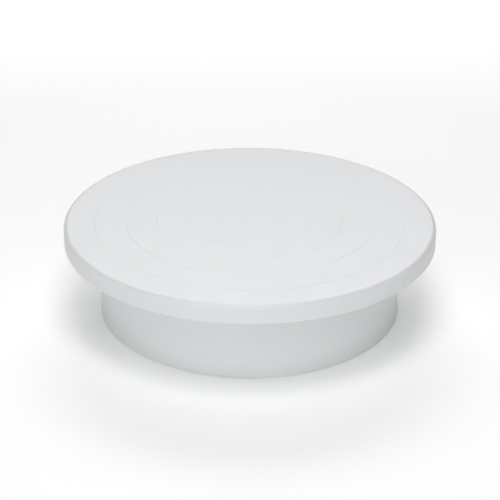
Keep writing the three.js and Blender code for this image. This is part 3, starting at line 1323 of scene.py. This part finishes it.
@dataclass
class Bearing:
    """The ball cage and its steel balls."""

    sizes: BearingSizes
    cage_half_thickness: float = 1.2 * MM
    cage_half_width: float = 7 * MM
    cage_rounding: float = 0.4 * MM
    mouth: float = 0.35 * MM
    ball_fineness: int = 4
    cage_finish: MouldedPlastic = MouldedPlastic(
        name="natural_nylon",
        colour=(0.76, 0.72, 0.60),
        drift=(0.70, 0.65, 0.52),
        roughness=0.45,
    )
    ball_finish: PlainMetal = PlainMetal(
        name="polished_ball_steel",
        colour=(0.70, 0.70, 0.71),
        tarnish=(0.62, 0.61, 0.60),
        roughness=0.12,
        line_size=0.3 * MM,
        line_depth=0.0008 * MM,
    )

    @property
    def faces(self) -> Point:
        """Heights of the cage's lower and upper faces."""
        middle, half = self.sizes.height, self.cage_half_thickness
        return middle - half, middle + half

    def cage(self) -> bpy.types.Object:
        """The flat ring with a round pocket for each ball.

        Returns:
            The cage.
        """
        track, half = self.sizes.track, self.cage_half_width
        inner, outer = track - half, track + half
        low, high = self.faces
        places = ((inner, low), (outer, low), (outer, high), (inner, high))
        corners = [Corner(r, z, self.cage_rounding) for r, z in places]
        ring = turned("cage", Outline(corners, closed=True).points(), LARGE_STEPS)
        pockets = merged("pockets", [self.pocket(turn) for turn in self.sizes.spots()])
        return combine(ring, [pockets], Cut.REMOVE)

    def pocket(self, turn: float) -> bpy.types.Object:
        """One round pocket, a little wider at both mouths.

        Args:
            turn: Angle of the pocket about +Z, in radians.

        Returns:
            The pocket as a solid.
        """
        size, mouth = self.sizes.ball + self.sizes.gap, self.mouth
        low, high = self.faces
        outline = [
            (0, low - mouth),
            (size + 2 * mouth, low - mouth),
            (size, low + mouth),
            (size, high - mouth),
            (size + 2 * mouth, high + mouth),
            (0, high + mouth),
        ]
        return moved_out(turned("pocket", outline, HOLE_STEPS), turn, self.sizes.track)

    def ball(self, turn: float) -> bpy.types.Object:
        """One steel ball.

        Args:
            turn: Angle of the ball about +Z, in radians.

        Returns:
            The ball.
        """
        build = bmesh.new()
        bmesh.ops.create_icosphere(build, subdivisions=self.ball_fineness, radius=self.sizes.ball)
        middle = Matrix.Rotation(turn, 4, "Z") @ Vector((self.sizes.track, 0, self.sizes.height))
        bmesh.ops.translate(build, vec=middle, verts=build.verts)
        return linked("ball", mesh_of("ball", build))

    def build(self) -> list[bpy.types.Object]:
        """Makes the cage and the balls.

        Returns:
            The cage, then each ball.
        """
        cage = Part("cage_ring", "ball_cage", "cage", "cage_nylon")
        pieces = [fitted(self.cage(), cage, self.cage_finish.material())]
        steel = self.ball_finish.material()
        for i, turn in enumerate(self.sizes.spots(), start=1):
            part = Part(f"steel_ball_{i:02d}", f"ball_{i:02d}", f"ball_{i:02d}", "ball_steel")
            pieces.append(fitted(self.ball(turn), part, steel))
        return pieces


@dataclass
class Feet:
    """The push-in rubber feet."""

    circle: float
    turns: list[float]
    radius: float = 6.5 * MM
    thickness: float = 2.8 * MM
    stem_radius: float = 2.9 * MM
    stem_length: float = 8 * MM
    tip: float = 1.2 * MM
    groove: float = 3.6 * MM
    groove_width: float = 0.8 * MM
    groove_depth: float = 0.5 * MM
    groove_rounding: float = 0.15 * MM
    tread_rounding: float = 0.6 * MM
    top_rounding: float = 0.4 * MM
    root_rounding: float = 0.2 * MM
    stem_rounding: float = 0.3 * MM
    finish: Rubber = Rubber("matt_black_rubber", (0.022, 0.022, 0.024), (0.075, 0.073, 0.07))

    def outline(self) -> list[Corner]:
        """One foot's half section, with a grip groove in its lower face.

        Returns:
            The section's corners.
        """
        stem_top = self.thickness + self.stem_length
        half = self.groove_width / 2
        return [
            Corner(0, 0),
            Corner(self.groove - half, 0, self.groove_rounding),
            Corner(self.groove, self.groove_depth, self.groove_rounding),
            Corner(self.groove + half, 0, self.groove_rounding),
            Corner(self.radius, 0, self.tread_rounding),
            Corner(self.radius, self.thickness, self.top_rounding),
            Corner(self.stem_radius, self.thickness, self.root_rounding),
            Corner(self.stem_radius, stem_top - self.tip, self.stem_rounding),
            Corner(self.stem_radius - self.tip, stem_top, self.stem_rounding),
            Corner(0, stem_top),
        ]

    def build(self) -> list[bpy.types.Object]:
        """Makes the feet.

        Returns:
            One piece for each foot.
        """
        material = self.finish.material()
        points = Outline(self.outline(), closed=False, support=FINE_SUPPORT).points()
        pieces = []
        for i, turn in enumerate(self.turns, start=1):
            part = Part(f"rubber_foot_{i}", f"foot_{i}", "base", "foot_rubber")
            foot = moved_out(turned("foot", points, SMALL_STEPS), turn, self.circle)
            pieces.append(fitted(foot, part, material))
        return pieces


# ---------------------------------------------------------------------------
# The studio
# ---------------------------------------------------------------------------


@dataclass(frozen=True)
class SoftBox:
    """A rectangular studio light that faces the turntable and stays out of the picture."""

    name: str
    azimuth: float
    elevation: float
    distance: float
    size: tuple[float, float]
    power: float
    aim: float = 0.05

    def build(self) -> bpy.types.Object:
        """Puts the light in the scene.

        Returns:
            The light.
        """
        light = bpy.data.lights.new(self.name, "AREA")
        light.shape = "RECTANGLE"
        light.size, light.size_y = self.size
        light.energy = self.power
        lamp = bpy.data.objects.new(self.name, light)
        turn, rise = math.radians(self.azimuth), math.radians(self.elevation)
        level = math.cos(rise)
        away = Vector((level * math.sin(turn), -level * math.cos(turn), math.sin(rise)))
        lamp.location = Vector((0, 0, self.aim)) + self.distance * away
        lamp.rotation_euler = away.to_track_quat("Z", "Y").to_euler()
        lamp.visible_camera = False
        bpy.context.scene.collection.objects.link(lamp)
        return lamp


@dataclass(frozen=True)
class Studio:
    """The pale light table with its backdrop, the lights, the even light around and the camera."""

    camera_place: tuple[float, float, float] = (0.00018, -1.2150, 0.6518)
    camera_pitch: float = 26.336
    camera_roll: float = 0.30
    lens: float = 117.8
    sensor: float = 36.0
    sight: float = 50.0
    floor_radius: float = 6.0
    floor_glow: float = 0.19
    far_glow: float = 0.93
    glow_start: float = 0.5
    glow_end: float = 2.6
    table_colour: Colour = (0.93, 0.93, 0.93)
    table_drift: Colour = (0.92, 0.92, 0.92)
    table_cloud: float = 0.4
    table_roughness: float = 0.9
    backdrop_height: float = 5.0
    surround: float = 0.10
    lights: tuple[SoftBox, ...] = (
        SoftBox("overhead", 0, 76, 1.55, (0.7, 0.7), 9.1),
        SoftBox("front_left_low", -20, 20, 1.9, (1.2, 0.6), 4.8),
        SoftBox("front_left_high", -20, 45, 1.9, (1.2, 0.6), 2.8),
        SoftBox("front_right_low", 20, 20, 1.9, (1.2, 0.6), 2.7),
        SoftBox("front_right_high", 20, 45, 1.9, (1.2, 0.6), 3.1),
        SoftBox("left_side", -90, 15, 1.9, (1.2, 0.6), 1.2),
        SoftBox("back", 180, 40, 1.9, (1.2, 0.6), 13.7),
    )

    def camera(self) -> bpy.types.Object:
        """The camera that looks down on the front.

        Returns:
            The camera.
        """
        data = bpy.data.cameras.new("camera")
        data.lens = self.lens
        data.sensor_width = self.sensor
        data.clip_end = self.sight
        camera = bpy.data.objects.new("camera", data)
        camera.location = self.camera_place
        tilt = Euler((math.radians(90 - self.camera_pitch), 0, 0)).to_matrix()
        roll = Matrix.Rotation(math.radians(self.camera_roll), 3, "Z")
        camera.rotation_euler = (tilt @ roll).to_euler()
        bpy.context.scene.collection.objects.link(camera)
        bpy.context.scene.camera = camera
        return camera

    def glowing(self) -> bpy.types.Material:
        """A pale matt surface lit from behind, brighter far from the turntable.

        Returns:
            The material.
        """
        graph = Graph("pale_table")
        colour = graph.tinted(graph.noise(self.table_cloud), self.table_colour, self.table_drift)
        graph.feed(graph.shader["Base Color"], colour)
        reach, strength = (self.glow_start, self.glow_end), (self.floor_glow, self.far_glow)
        graph.feed(graph.shader["Emission Strength"], graph.ranged(graph.radius(), reach, strength))
        graph.shader["Emission Color"].default_value = (1, 1, 1, 1)
        graph.shader["Roughness"].default_value = self.table_roughness
        return graph.material

    def floor(self) -> bpy.types.Object:
        """The wide pale floor, lit from below.

        Returns:
            The floor.
        """
        build = bmesh.new()
        bmesh.ops.create_circle(build, cap_ends=True, segments=RING_STEPS, radius=self.floor_radius)
        floor = linked("floor", mesh_of("floor", build))
        floor.data.materials.append(self.glowing())
        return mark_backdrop(floor)

    def backdrop(self) -> bpy.types.Object:
        """The pale round wall behind the floor, which lights nothing and is only looked at.

        Returns:
            The wall.
        """
        build = bmesh.new()
        radius, top = self.floor_radius, self.backdrop_height
        bmesh.ops.create_cone(
            build, segments=RING_STEPS, radius1=radius, radius2=radius, depth=top
        )
        bmesh.ops.translate(build, vec=(0, 0, top / 2), verts=build.verts)
        wall = linked("backdrop", mesh_of("backdrop", build))
        wall.data.materials.append(self.glowing())
        wall.visible_diffuse = wall.visible_glossy = False
        wall.visible_transmission = wall.visible_shadow = False
        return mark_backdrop(wall)

    def world(self) -> bpy.types.World:
        """The even light from all around.

        Returns:
            The world.
        """
        world = bpy.data.worlds.new("surround")
        world.use_nodes = True
        background = world.node_tree.nodes["Background"].inputs
        background["Color"].default_value = (1, 1, 1, 1)
        background["Strength"].default_value = self.surround
        bpy.context.scene.world = world
        return world

    def build(self) -> None:
        """Sets up the whole studio."""
        bpy.context.scene.view_settings.view_transform = "Standard"
        self.camera()
        self.world()
        self.floor()
        self.backdrop()
        for light in self.lights:
            light.build()


# ---------------------------------------------------------------------------
# The scene
# ---------------------------------------------------------------------------


def main() -> None:
    """Builds the studio, then each sub-assembly from the table up."""
    logging.basicConfig(level=logging.INFO, format="%(name)s: %(message)s")
    Studio().build()
    bearing = BearingSizes.from_frame()
    base = BaseShell.from_frame(bearing)
    plate_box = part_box("top_plate")
    assemblies = (
        Feet(base.foot_circle, base.foot_turns()),
        base,
        HubBush.from_frame(),
        Bearing(bearing),
        Retainer.from_frame(),
        TopPlate(radius=plate_box[1].x, top=plate_box[1].z, bearing=bearing),
    )
    for assembly in assemblies:
        for piece in assembly.build():
            faces = len(piece.data.polygons)
            LOG.info("%s: %s, %d faces", type(assembly).__name__, piece.name, faces)


if __name__ == "__main__":
    main()
